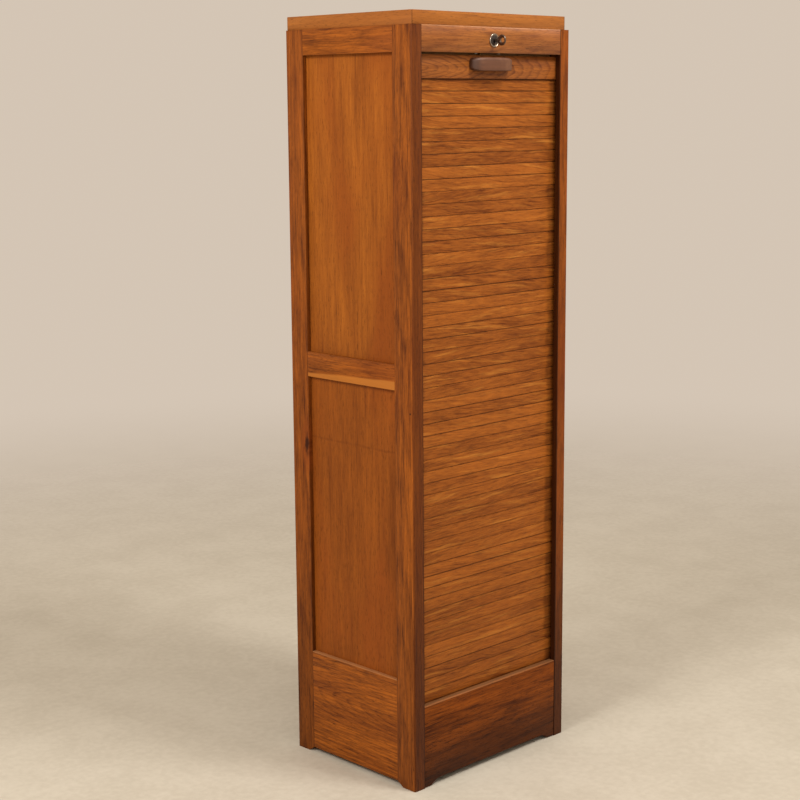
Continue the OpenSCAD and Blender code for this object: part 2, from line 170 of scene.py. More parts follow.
class Wire:
    # an output socket that can be used in plain expressions
    def __init__(self, paint, socket):
        self.paint = paint
        self.socket = socket

    def math(self, operation, *values):
        return self.paint.add("ShaderNodeMath", {"operation": operation}, dict(enumerate(values)))

    def __add__(self, other):
        return self.math("ADD", self, other)

    def __sub__(self, other):
        return self.math("SUBTRACT", self, other)

    def __rsub__(self, other):
        return self.math("SUBTRACT", other, self)

    def __mul__(self, other):
        return self.math("MULTIPLY", self, other)

    def __truediv__(self, other):
        return self.math("DIVIDE", self, other)

    def __pow__(self, other):
        return self.math("POWER", self, other)

    def __abs__(self):
        return self.math("ABSOLUTE", self)

    __radd__ = __add__
    __rmul__ = __mul__

    def lowest(self, other):
        return self.math("MINIMUM", self, other)

    def highest(self, other):
        return self.math("MAXIMUM", self, other)

    def sine(self):
        return self.math("SINE", self)

    def whole(self):
        return self.math("FLOOR", self)

    def rest(self):
        return self.math("FRACT", self)

    def between(self, start, end):
        # 0 up to start, 1 from end on, smooth between
        settings = {"interpolation_type": "SMOOTHSTEP"}
        values = {"Value": self, "From Min": start, "From Max": end}
        return self.paint.add("ShaderNodeMapRange", settings, values)


class Paint:
    # one material and the nodes in it
    def __init__(self, name, **surface):
        self.material = bpy.data.materials.new(name)
        self.material.use_nodes = True
        self.tree = self.material.node_tree
        self.shader = self.tree.nodes["Principled BSDF"]
        for socket, value in surface.items():
            self.shader.inputs[socket.replace("_", " ")].default_value = value

    def add(self, kind, settings=None, values=None, out=0):
        made = self.tree.nodes.new(kind)
        for key, value in (settings or {}).items():
            if key == "stops":
                self.placeStops(made.color_ramp, value)
            else:
                setattr(made, key, value)
        for key, value in (values or {}).items():
            self.join(made.inputs[key], value)
        return Wire(self, made.outputs[out])

    def placeStops(self, line, stops):
        while len(line.elements) < len(stops):
            line.elements.new(0.5)
        for element, (spot, level) in zip(line.elements, stops):
            element.position = spot
            element.color = (level, level, level, 1)

    def join(self, socket, value):
        if isinstance(value, Wire):
            self.tree.links.new(value.socket, socket)
        elif isinstance(value, tuple) and len(value) == 3 and socket.type == "RGBA":
            socket.default_value = (*value, 1)
        else:
            socket.default_value = value

    def set(self, **sockets):
        for name, value in sockets.items():
            self.join(self.shader.inputs[name.replace("_", " ")], value)

    def place(self):
        spot = self.add("ShaderNodeTexCoord", out="Object")
        return [self.add("ShaderNodeSeparateXYZ", values={0: spot}, out=i) for i in range(3)]

    def vector(self, x, y, z):
        return self.add("ShaderNodeCombineXYZ", values={0: x, 1: y, 2: z})

    def noise(self, where, scale, detail, seed, roughness=0.5):
        settings = {"noise_dimensions": "4D"}
        values = {"Vector": where, "W": seed, "Scale": scale, "Detail": detail, "Roughness": roughness}
        return self.add("ShaderNodeTexNoise", settings, values, "Fac")

    def mix(self, share, first, second):
        return self.add("ShaderNodeMix", {"data_type": "RGBA"}, {0: share, 6: first, 7: second}, 2)

    def ramp(self, share, stops):
        return self.add("ShaderNodeValToRGB", {"stops": stops}, {0: share})

    def bump(self, height, strength, distance):
        values = {"Strength": strength, "Distance": distance, "Height": height}
        self.set(Normal=self.add("ShaderNodeBump", values=values))


oakLook = {
    "light": (0.390, 0.105, 0.0095),    # early wood
    "dark": (0.075, 0.0155, 0.0018),    # late wood
    "red": (0.185, 0.037, 0.0045),      # patches that took more of the stain
    "redness": 0.5,        # how strongly those patches show
    "rings": 130,          # rings per metre
    "pith": 0.09,          # metres between the board's face and the heart of the tree
    "side": 0.1,           # how far the heart lies from the middle, as a share of the width
    "rise": 0.05,          # how much the rings climb along the board
    "wander": 0.01,        # slow and quick waviness of the rings
    "swirl": 0.004,
    "figure": 0.25,        # how strongly the rings show
    "streak": 1.7,         # how strongly the coarse, the fine and the broad streaks show
    "fine": 1.5,
    "broad": 0.9,
    "pores": 0.5,          # how dark the pores and the longer flecks are
    "flecks": 0.35,
    "endGrimeAndShade": 0.1,       # dirt and painted shade along the ends and the long sides, where the board meets its neighbours, and how far it reaches in
    "sideGrimeAndShade": 0.1,
    "grimeAndShadeWidth": 0.0035,
    # painted shade: darker towards the floor, at the foot and towards the bottom of the board
    "floorShade": 0.3,     # darker towards the floor, over the lowest 0.6 m of the cabinet,
    "footShade": 0,        # over the lowest 0.15 m,
    "lowShade": 0,         # and evenly from the board's top to its bottom
    "wornTopAndHighlight": 0,          # bare wood and a painted highlight along the top edge
    "frontShade": 0,       # painted shade on the front face, the inner face and the top face
    "innerShade": 0,
    "ledgeShade": 0,
    "rough": 0.5,
    "gloss": 0.14,
}

woodLooks = {
    "frame_oak": {},
    "panel_oak": {
        "light": (0.440, 0.130, 0.0125), "dark": (0.170, 0.040, 0.0036), "red": (0.270, 0.062, 0.0058),
        "rings": 60, "figure": 0.1, "streak": 1.2, "fine": 0.9, "broad": 1.2, "redness": 0.85,
        "rise": 0.02, "side": 0.5, "flecks": 0.1, "endGrimeAndShade": 0.6, "sideGrimeAndShade": 0.65, "grimeAndShadeWidth": 0.006,
        "floorShade": 0, "lowShade": 0.2, "rough": 0.6},
    "cap_oak": {
        "light": (0.455, 0.155, 0.0245), "dark": (0.200, 0.061, 0.0085), "red": (0.285, 0.082, 0.0120),
        "streak": 1.3, "fine": 0.8, "flecks": 0.1, "figure": 0.15, "floorShade": 0, "gloss": 0.22},
    "plinth_oak": {
        "light": (0.330, 0.080, 0.0070), "dark": (0.050, 0.0095, 0.0012), "red": (0.15, 0.030, 0.0030),
        "rings": 70, "figure": 0.3, "streak": 2.0, "fine": 1.5, "broad": 2.2, "floorShade": 0.25,
        "footShade": 0.5, "rough": 0.45, "gloss": 0.1},
    "lead_oak": {
        "light": (0.375, 0.117, 0.0165), "dark": (0.105, 0.025, 0.0032), "rings": 170, "figure": 0.6,
        "streak": 1.6, "fine": 0.8, "pith": 0.03, "rise": 0.22, "wander": 0.03, "swirl": 0.010,
        "floorShade": 0, "gloss": 0.25},
    "back_board": {
        "light": (0.33, 0.150, 0.048), "dark": (0.18, 0.072, 0.022), "red": (0.24, 0.090, 0.026),
        "rings": 40, "figure": 0.3, "streak": 1.4, "fine": 0.7, "flecks": 0.1, "side": 0.4, "rough": 0.65},
    "tray_oak": {
        "light": (0.46, 0.240, 0.088), "dark": (0.27, 0.120, 0.040), "red": (0.33, 0.145, 0.050),
        "rings": 90, "streak": 1.4, "fine": 0.7, "flecks": 0.1, "floorShade": 0},
    "inside_wood": {
        "light": (0.46, 0.260, 0.11), "dark": (0.30, 0.155, 0.060), "red": (0.34, 0.17, 0.070),
        "rings": 70, "streak": 1.4, "fine": 0.7, "flecks": 0.1, "floorShade": 0, "rough": 0.65},
}

# from one ring to the next: pale early wood, then a dark line that ends sharply
ringShape = [(0.0, 0.0), (0.55, 0.15), (0.86, 1.0), (1.0, 0.0)]
# colour of the pale top edge: bare wood and a painted highlight
bareOakAndHighlight = (0.44, 0.20, 0.08)
holeColour = (0.012, 0.005, 0.003)
knotColour = (0.020, 0.004, 0.001)


def woodSurface(paint, grain, across, low, high, look, seed):
    # the three directions of the board: along its grain, across its face and into it;
    # noise is squeezed along the grain, so that it draws streaks
    axes = dict(zip("xyz", paint.place()))
    into = (set("xyz") - {grain, across}).pop()
    spans = {a: (low["xyz".index(a)], high["xyz".index(a)]) for a in "xyz"}
    along, side, depth = axes[grain], axes[across], axes[into]
    width = spans[across][1] - spans[across][0]
    pithSide = blend(*spans[across], 0.5) + look["side"] * width
    pithDepth = spans[into][0] - look["pith"]
    pithAlong = blend(*spans[grain], 0.3)

    slow = paint.vector(along * 0.14, side, depth)
    wander = paint.noise(slow, 8, 2, seed) - 0.5
    swirl = paint.noise(slow, 60, 3, seed + 3) - 0.5
    sideGap = side - pithSide + wander * look["wander"] * 4
    depthGap = depth - pithDepth + (along - pithAlong) * look["rise"]
    radius = (sideGap ** 2 + depthGap ** 2) ** 0.5 + swirl * look["swirl"]
    breaks = paint.noise(slow, 70, 3, seed + 4).between(0.3, 0.7)
    turns = radius * look["rings"]
    # the late wood fades and comes back along each ring
    rings = paint.ramp(turns.rest(), ringShape) * (0.35 + breaks * 0.65)

    bent = side + wander * 0.012
    streaks = paint.noise(paint.vector(along * 0.045, bent, depth), 165, 5, seed + 5, 0.68)
    fine = paint.noise(paint.vector(along * 0.05, bent, depth), 480, 3, seed + 6, 0.65)
    flecks = paint.noise(paint.vector(along * 0.08, bent, depth), 300, 2, seed + 12).between(0.60, 0.74)
    broad = paint.noise(paint.vector(along * 0.12, side, depth), 24, 3, seed + 7, 0.6)
    patches = paint.noise(paint.vector(along * 0.3, side, depth), 9, 3, seed + 9)
    pores = paint.noise(paint.vector(along * 0.06, side, depth), 1300, 1, seed + 11).between(0.58, 0.70)
    share = 0.5 + (streaks - 0.5) * look["streak"] + (broad - 0.5) * look["broad"]
    share = share + (fine - 0.5) * look["fine"] - (rings - 0.25) * look["figure"]
    share = share.lowest(1).highest(0)
    colour = paint.mix(share, look["dark"], look["light"])
    colour = paint.mix(patches.between(0.4, 0.7) * look["redness"], colour, look["red"])

    # dirt and painted shade where the board meets its neighbours, dirt in the pores and flecks, and painted
    # shade towards the floor, low on the board and on its front, top and inner faces
    dirtAndShade = pores * look["pores"] + flecks * look["flecks"]
    for axis, amount in ((grain, look["endGrimeAndShade"]), (across, look["sideGrimeAndShade"])):
        start, end = spans[axis]
        gap = (end - start) / 2 - abs(axes[axis] - (start + end) / 2) + (streaks - 0.5) * 0.003
        dirtAndShade = dirtAndShade + (1 - gap.between(0.0006, look["grimeAndShadeWidth"])) * amount
    if look["floorShade"]:
        dirtAndShade = dirtAndShade + (1 - axes["z"].between(0.02, 0.60)) * look["floorShade"]
    if look["lowShade"]:
        dirtAndShade = dirtAndShade + (1 - (axes["z"] - low[2]) / (high[2] - low[2])) * look["lowShade"]
    if look["footShade"]:
        dirtAndShade = dirtAndShade + (1 - axes["z"].between(0.02, 0.15)) * look["footShade"]
    if look["frontShade"]:
        front = 1 - axes["y"].between(low[1] + 0.0012, low[1] + 0.003)
        colour = paint.mix(front * look["frontShade"], colour, tuple(c * 0.45 for c in look["red"]))
    if look["ledgeShade"]:
        ledge = axes["z"].between(high[2] - 0.0010, high[2] - 0.0003)
        ledge = ledge * axes["y"].between(low[1] + 0.003, low[1] + 0.006)
        dirtAndShade = dirtAndShade + ledge * look["ledgeShade"]
    if look["innerShade"]:
        inner = abs(axes["x"]) - min(abs(low[0]), abs(high[0]))
        dirtAndShade = dirtAndShade + (1 - inner.between(0.0008, 0.0022)) * look["innerShade"]
    colour = paint.mix(dirtAndShade.lowest(0.92), colour, tuple(c * 0.25 for c in look["dark"]))
    # the top edge painted paler, as bare wood and a painted highlight
    if look["wornTopAndHighlight"]:
        rim = axes["z"].between(high[2] - 0.0020, high[2] - 0.0008) * (0.5 + streaks) * look["wornTopAndHighlight"]
        colour = paint.mix(rim.lowest(1), colour, bareOakAndHighlight)
    roughness = look["rough"] + (streaks - 0.5) * 0.2 + pores * 0.15
    height = streaks * 0.6 + fine * 0.3 - pores * 0.6 - rings * 0.25
    return {
        "colour": colour, "roughness": roughness, "height": height,
        "axes": axes, "broad": broad, "breaks": breaks}


def oak(name, grain, across, low, high, slot, seed, **changes):
    look = {**oakLook, **woodLooks.get(slot, {}), **changes}
    paint = Paint(name, Specular_IOR_Level=look["gloss"])
    found = woodSurface(paint, grain, across, low, high, look, seed)
    colour, y, z = found["colour"], found["axes"]["y"], found["axes"]["z"]
    if "sapwood" in look:
        # a paler strip along the lower edge, wider towards the front
        rear, front = look["sapwood"]
        share = (y - low[1]) / (high[1] - low[1])
        edge = low[2] + front + share * (rear - front) + (found["broad"] - 0.5) * 0.02
        strip = 1 - (z - edge).between(-0.002, 0.002)
        colour = paint.mix(strip * 0.75, colour, look["sapColour"])
    if "knot" in look:
        # a dark oval in the side, with stained wood round it
        spot, size = look["knot"]
        reach = (((y - spot[0]) / size[0]) ** 2 + ((z - spot[1]) / size[1]) ** 2) ** 0.5
        reach = reach + (paint.noise(paint.vector(y, z * 0.4, 0), 160, 3, seed) - 0.5) * 1.6
        colour = paint.mix((1 - reach.between(1.0, 2.6)) * 0.55, colour, look["red"])
        colour = paint.mix((1 - reach.between(0.3, 1.1)) * 0.9, colour, knotColour)
    if "nail" in look:
        spot = look["nail"]
        reach = ((y - spot[0]) ** 2 + (z - spot[1]) ** 2) ** 0.5
        colour = paint.mix((1 - reach.between(0.001, 0.0028)) * 0.9, colour, holeColour)
    if "scratch" in look:
        # a faint wavy line across the board, broken in places
        line = abs(z - look["scratch"] + (found["broad"] - 0.5) * 0.012)
        colour = paint.mix((1 - line.between(0.0002, 0.0042)) * 0.55 * found["breaks"], colour, look["dark"])
    paint.set(Base_Color=colour, Roughness=found["roughness"])
    paint.bump(found["height"], 0.35, millimetres(0.5))
    return paint.material


def cleanMesh(node):
    # the node's own shape, welded and with its flat faces whole
    mesh = frame["nodes"][node].data.copy()
    mesh.materials.clear()
    shape = bmesh.new()
    shape.from_mesh(mesh)
    bmesh.ops.remove_doubles(shape, verts=shape.verts, dist=millimetres(0.002))
    bmesh.ops.dissolve_limit(shape, angle_limit=math.radians(1), verts=shape.verts, edges=shape.edges)
    shape.to_mesh(mesh)
    shape.free()
    return mesh


def finishMesh(shape, name):
    bmesh.ops.recalc_face_normals(shape, faces=shape.faces)
    mesh = bpy.data.meshes.new(name)
    shape.to_mesh(mesh)
    shape.free()
    return mesh


def bridge(shape, rows, closed=True):
    # joins each ring of points to the next
    for first, second in zip(rows, rows[1:]):
        size = len(first)
        for k in range(size if closed else size - 1):
            shape.faces.new((first[k], first[(k + 1) % size], second[(k + 1) % size], second[k]))


def addPiece(name, mesh, body, nodes, material):
    piece = bpy.data.objects.new(name, mesh)
    bpy.context.scene.collection.objects.link(piece)
    mesh.shade_smooth()
    mesh.materials.append(material)
    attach(piece, body)
    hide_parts(*nodes)
    return piece


def wearEdges(piece, width):
    worn = piece.modifiers.new("wornEdges", "BEVEL")
    worn.width = millimetres(width)
    worn.segments = 2
    worn.limit_method = "ANGLE"
    worn.angle_limit = math.radians(35)
    worn.harden_normals = True
    worn.use_clamp_overlap = True


def board(node, grain, across, wear, **changes):
    # a board takes the shape of its node, with worn edges
    low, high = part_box(node)
    slot = slotOf[node]
    seed = random.Random(node).uniform(0, 40)
    material = oak(node + "Wood", grain, across, low, high, slot, seed, **changes)
    piece = addPiece(node + "_worked", cleanMesh(node), bodyOf[node], [node], material)
    if wear:
        wearEdges(piece, wear)
    else:
        piece.data.set_sharp_from_angle(angle=math.radians(35))
    return piece


lowerPanel = {"light": (0.330, 0.090, 0.0080), "dark": (0.125, 0.028, 0.0024), "lowShade": 0.1}
railEnds = {"endGrimeAndShade": 0.85}
# nail is a place (y, z), knot a place and its half size, scratch a height, all in metres;
# sapwood is how high the pale strip reaches at the rear and at the front
frameBoards = {
    # node: grain, across, width of the worn edge in mm, and changes to its look
    "front_left_post": ("z", "y", 1.0, {
        "side": 0.3, "frontShade": 0.62, "innerShade": 0.6, "nail": (-0.1515, 0.760)}),
    "front_right_post": ("z", "x", 1.0, {
        "side": 0.3, "floorShade": 0.72, "innerShade": 0.75, "light": (0.315, 0.080, 0.0080)}),
    "rear_left_post": ("z", "y", 1.0, {
        "light": (0.350, 0.093, 0.0085), "floorShade": 0.46, "sideGrimeAndShade": 0.3,
        "knot": ((0.1475, 0.658), (0.0088, 0.028))}),
    "rear_right_post": ("z", "y", 1.0, {"floorShade": 0.4}),
    "left_top_rail": ("y", "z", 0.6, {"figure": 0.3, "red": (0.20, 0.045, 0.010), **railEnds}),
    "left_mid_rail": ("y", "z", 0.8, {
        "sapwood": (0.006, 0.017), "sapColour": (0.47, 0.165, 0.026), **railEnds}),
    "left_base_board": ("y", "z", 1.2, {
        "light": (0.45, 0.122, 0.0100), "floorShade": 0.2,
        "figure": 0.35, "pith": 0.02, "rise": 0.16, "rings": 150, "wornTopAndHighlight": 0.55, **railEnds}),
    "right_top_rail": ("y", "z", 0.6, railEnds),
    "right_mid_rail": ("y", "z", 0.8, railEnds),
    "right_base_board": ("y", "z", 1.2, {
        "figure": 0.35, "pith": 0.03, "rise": -0.12, "rings": 150, "wornTopAndHighlight": 0.55, **railEnds}),
    "left_upper_panel": ("z", "y", 0, {}),
    "left_lower_panel": ("z", "y", 0, {**lowerPanel, "scratch": 0.676}),
    "right_upper_panel": ("z", "y", 0, {}),
    "right_lower_panel": ("z", "y", 0, lowerPanel),
    "front_top_rail": ("x", "z", 0.5, {
        "figure": 0.35, "rings": 190, "swirl": 0.008, "streak": 1.5, "light": (0.41, 0.143, 0.027),
        "dark": (0.13, 0.034, 0.006), "gloss": 0.3, "wornTopAndHighlight": 0.6, **railEnds}),
    "plinth_board": ("x", "z", 1.6, {"wornTopAndHighlight": 0.4, "endGrimeAndShade": 0.6, "ledgeShade": 0.85}),
    "rear_top_rail": ("x", "z", 0.8, railEnds),
    "rear_mid_rail": ("x", "z", 0.8, railEnds),
    "rear_base_rail": ("x", "z", 0.8, railEnds),
    "back_upper_panel": ("z", "x", 0, {}),
    "back_lower_panel": ("z", "x", 0, {}),
    "cap_board": ("x", "y", 0.3, {"rings": 60, "figure": 0.3, "sideGrimeAndShade": 0.6, "endGrimeAndShade": 0.6}),
    "cap_left_lipping": ("y", "z", 0.7, {}),
    "cap_right_lipping": ("y", "z", 0.7, {}),
    "cap_front_lipping": ("x", "z", 0.7, {"endGrimeAndShade": 0.5}),
    "cap_back_lipping": ("x", "z", 0.7, {"endGrimeAndShade": 0.5}),
    "left_track_board": ("z", "y", 0.4, {}),
    "right_track_board": ("z", "y", 0.4, {}),
    "floor_board": ("x", "y", 0.5, {}),
    "ceiling_board": ("x", "y", 0.5, {}),
    "false_back": ("z", "x", 0.3, {}),
    "glue_blocks": ("z", "y", 0.8, {}),
    "left_tray_runners": ("y", "z", 0.5, {}),
    "right_tray_runners": ("y", "z", 0.5, {}),
    "lead_slat": ("x", "z", 1.0, {}),
}

for node, (grain, across, wear, changes) in frameBoards.items():
    board(node, grain, across, wear, **changes)
print("boards made:", len(frameBoards))


trays = {
    "count": 10,
    "wear": 0.6,           # mm
    "front": 12.05,        # mm, thickness of the front board and a hair more
    "frontFigure": 0.5,
}


def tray(number, s):
    # the front board's grain runs across the tray and the rest runs back
    node = f"tray_{number}"
    piece = board(node, "y", "x", s["wear"])
    low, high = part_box(node)
    frontOak = oak(
        node + "FrontWood", "x", "z", low, high, "tray_oak", number * 1.7, figure=s["frontFigure"])
    piece.data.materials.append(frontOak)
    for face in piece.data.polygons:
        if face.center.y < low.y + millimetres(s["front"]):
            face.material_index = 1


for number in range(1, trays["count"] + 1):
    tray(number, trays)
print("trays made")


slats = {
    "inSight": 52,         # between the lead slat and the plinth board
    "roundness": (0.25, 0.95),   # mm, least and greatest radius on the long front edges
    "backChamfer": (0.4, 0.3),   # mm, depth and height
    "crown": 0.25,         # mm, how far the middle of a slat stands out
    "proud": 0.25,         # mm, how far one slat may stand out from the next
    "lean": 0.006,         # mm per mm of height, how far one slat may tip
    "gap": 0.4,            # mm
    "lengths": 16,
    "cornerSteps": 4,
    "waviness": 0.2,       # mm, of the sawn edges
    "waves": 6,            # per metre
    "wavesApart": 3.7,     # step in the noise from one slat to the next
    "waveFrom": 12,        # mm up the slat, above which its edge is wavy
}


def slatOutline(thick, height, r, s):
    # one slat seen from its end: back edge, then round the crowned front
    cutDepth, cutHeight = s["backChamfer"]
    points = [(thick, cutHeight), (thick, height - cutHeight), (thick - cutDepth, height)]
    quarter = [math.radians(90 * step / s["cornerSteps"]) for step in range(s["cornerSteps"] + 1)]
    for turn in quarter:
        points.append((r - r * math.sin(turn), height - r + r * math.cos(turn)))
    for share in (0.8, 0.6, 0.4, 0.2):
        points.append((-s["crown"] * math.sin(math.pi * share), r + (height - 2 * r) * share))
    for turn in quarter:
        points.append((r - r * math.cos(turn), r - r * math.sin(turn)))
    points.append((thick - cutDepth, 0))
    return points


def curtainSlats(s):
    low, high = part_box("curtain_slats")
    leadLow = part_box("lead_slat")[0]
    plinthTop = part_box("plinth_board")[1].z
    pitch = (leadLow.z - plinthTop) / s["inSight"]
    count = round((leadLow.z - low.z) / pitch)
    thick = (high.y - low.y) * 1000
    pick = random.Random(11)
    shape = bmesh.new()
    for i in range(count):
        base = low.z + pitch * i + millimetres(s["gap"] / 2)
        proud = pick.uniform(0, s["proud"])
        lean = pick.uniform(-s["lean"], s["lean"])
        outline = slatOutline(thick, pitch * 1000 - s["gap"], pick.uniform(*s["roundness"]), s)
        tall = outline[1][1]
        rows = []
        for j in range(s["lengths"] + 1):
            x = blend(low.x, high.x, j / s["lengths"])
            wave = noise.noise(Vector((x * s["waves"], i * s["wavesApart"], 0))) * s["waviness"]
            row = []
            for depth, up in outline:
                out = 0 if depth > thick / 2 else proud + lean * (up - tall / 2)
                y = low.y + millimetres(max(depth - out + s["crown"], 0))
                drop = abs(wave * (up / tall - 0.5)) if up > s["waveFrom"] else 0
                row.append(shape.verts.new((x, y, base + millimetres(up - drop))))
            rows.append(row)
        bridge(shape, rows)
        shape.faces.new(rows[0])
        shape.faces.new(rows[-1][::-1])
    return finishMesh(shape, "curtain_slats_worked"), low, high, pitch


shutterLook = {
    "light": (0.405, 0.120, 0.0150),
    "dark": (0.115, 0.0245, 0.0026),
    "red": (0.235, 0.051, 0.0050),
    "pale": (0.56, 0.215, 0.033),
    "shine": 0.55,         # how strongly the pale streaks show
    "bands": 1.5,          # the same for the coarse and the fine streaks, the flame figure,
    "fine": 1.5,           # the slow change over the whole shutter and the thin dark lines
    "flame": 0.6,
    "glow": 0.5,
    "lines": 0.28,
    "toneSpread": 0.34,    # how much the slats differ from one another in tone,
    "shift": 0.9,          # in where along the tree they were cut, in metres,
    "tilt": 0.16,          # and in the slope of their grain
    "endGrimeAndShade": 0.55,      # painted shade of the posts on the slat ends, with some dirt, and how far it reaches in, in metres
    "endWidth": 0.019,
    "lipShade": 0.65,      # painted shade right under the lead slat
    "rough": 0.46,
    "gloss": 0.14,
}


def shutterOak(low, high, pitch, look):
    paint = Paint("shutterOak", Specular_IOR_Level=look["gloss"])
    x, y, z = paint.place()
    row = (z - low.z) / pitch
    index = row.whole()
    # three random numbers for each slat
    settings = {"noise_dimensions": "1D"}
    luck = [paint.add("ShaderNodeTexWhiteNoise", settings, {"W": index + k}) for k in (0.5, 40.5, 80.5)]
    shift = x + luck[0] * look["shift"]
    tilt = z + x * (luck[1] - 0.35) * look["tilt"]
    wander = paint.noise(paint.vector(shift * 0.35, y, tilt), 26, 3, 3) - 0.5
    bent = tilt + wander * 0.016
    bands = paint.noise(paint.vector(shift * 0.06, y, bent), 150, 5, 5, 0.72)
    fine = paint.noise(paint.vector(shift * 0.07, y, bent), 480, 3, 9, 0.65)
    flame = paint.noise(paint.vector(shift * 0.22, y, bent), 34, 4, 13, 0.6)
    glow = paint.noise(paint.vector(x * 0.8, y, z * 1.5), 7, 2, 15)
    lines = paint.noise(paint.vector(shift * 0.05, y, bent), 260, 3, 19, 0.6).between(0.54, 0.66)
    pores = paint.noise(paint.vector(shift * 0.06, y, tilt), 1300, 1, 17).between(0.58, 0.70)
    share = 0.60 + (bands - 0.5) * look["bands"] + (fine - 0.5) * look["fine"]
    share = share + (flame - 0.5) * look["flame"] + (luck[2] - 0.5) * look["toneSpread"]
    share = share + (glow - 0.5) * look["glow"] - lines * look["lines"]
    share = share.lowest(1).highest(0)
    colour = paint.mix(share, look["dark"], look["light"])
    colour = paint.mix(flame.between(0.5, 0.8) * 0.35, colour, look["red"])
    shine = paint.noise(paint.vector(shift * 0.06, y, bent), 120, 4, 29, 0.6).between(0.52, 0.72)
    colour = paint.mix(shine * look["shine"], colour, look["pale"])
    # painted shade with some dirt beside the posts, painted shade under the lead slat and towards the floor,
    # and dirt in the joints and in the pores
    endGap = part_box("front_right_post")[0].x + (luck[1] + bands - 1) * 0.010 - abs(x)
    ends = 1 - endGap.between(look["endWidth"] - 0.010, look["endWidth"] + 0.002)
    within = row.rest()
    joint = 1 - within.lowest(1 - within).between(0.02, 0.08)
    patchy = paint.noise(paint.vector(shift * 0.4, y, z), 60, 2, 23)
    dirtAndShade = ends * look["endGrimeAndShade"] * (0.35 + luck[0] * 0.65) * (0.5 + patchy)
    dirtAndShade = dirtAndShade + joint * (luck[1] * 0.7 + (patchy - 0.5) * 0.8).highest(0)
    dirtAndShade = dirtAndShade + z.between(high.z - 0.0040, high.z - 0.0015) * look["lipShade"]
    dirtAndShade = dirtAndShade + pores * 0.35 + (1 - z.between(0.1, 0.7)) * 0.12
    colour = paint.mix(dirtAndShade.lowest(0.9), colour, tuple(c * 0.3 for c in look["dark"]))
    paint.set(Base_Color=colour, Roughness=look["rough"] + (fine - 0.5) * 0.2 + dirtAndShade * 0.2)
    paint.bump(fine * 0.6 + bands * 0.4 - pores * 0.5 - lines * 0.2, 0.4, millimetres(0.5))
    return paint.material


slatMesh, slatLow, slatHigh, slatPitch = curtainSlats(slats)
curtain = addPiece(
    "curtain_slats_worked", slatMesh, "cabinet", ["curtain_slats"],
    shutterOak(slatLow, slatHigh, slatPitch, shutterLook))
slatMesh.set_sharp_from_angle(angle=math.radians(40))
print("slats made")


canvas = {
    "columns": 40,
    "rowsPerSlat": 4,
    "sink": 0.15,          # mm, how far the canvas sinks into the joint between two slats
    "threads": 900,        # per metre
    "shade": (0.26, 0.22, 0.15),
    "pale": (0.50, 0.44, 0.33),
}


def canvasMesh(c):
    low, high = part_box("curtain_canvas")
    rows = round((high.z - low.z) / slatPitch) * c["rowsPerSlat"]
    shape = bmesh.new()
    sides = []
    for y, depth in ((low.y, c["sink"]), (high.y, 0)):
        grid = []
        for i in range(rows + 1):
            z = blend(low.z, high.z, i / rows)
            sink = millimetres(depth) * math.sin(math.pi * i / c["rowsPerSlat"]) ** 2
            line = [blend(low.x, high.x, j / c["columns"]) for j in range(c["columns"] + 1)]
            grid.append([shape.verts.new((x, y + sink, z)) for x in line])
        sides.append(grid)
        bridge(shape, grid, closed=False)
    front, back = sides
    for edge in (0, -1):
        bridge(shape, [[line[edge] for line in front], [line[edge] for line in back]], closed=False)
        bridge(shape, [front[edge], back[edge]], closed=False)
    return finishMesh(shape, "curtain_canvas_woven"), (high.x - low.x, high.z - low.z)


def canvasCloth(c):
    paint = Paint("canvasCloth", Roughness=0.9, Sheen_Weight=0.2)
    x, y, z = paint.place()
    halfWaves = c["threads"] * math.pi
    weave = (x * halfWaves).sine() * (z * halfWaves).sine() * 0.5 + 0.5
    blotch = paint.noise(paint.vector(x, y, z), 14, 3, 2)
    paint.set(Base_Color=paint.mix(weave * 0.6 + blotch * 0.4, c["shade"], c["pale"]))
    paint.bump(weave, 0.5, millimetres(0.3))
    return paint.material


clothMesh, clothSize = canvasMesh(canvas)
cloth = addPiece(
    "curtain_canvas_woven", clothMesh, "cabinet", ["curtain_canvas"], canvasCloth(canvas))
clothMesh.set_sharp_from_angle(angle=math.radians(40))
print("canvas made")


handleShape = {
    "lengths": 60,
    "reach": 0.999,        # the end rows stay a hair short of the tips, where the outline shrinks to nothing
    "planCurve": 3.0,      # how square the plan is: 2 is an ellipse
    "faceCurve": 5.0,      # the same, seen from the front
    "edge": (6.0, 2.5),    # mm, radius of the top and bottom front edges
    "edgeSteps": 6,
    "wall": 6.5,           # mm, thickness of the front and of the top
    "hollow": 38,          # mm, from the middle to the end of the finger hollow
    "corner": 3,           # mm, radius of the hollow's inner corner
    "ease": 9,             # mm, how gently the hollow ends
}


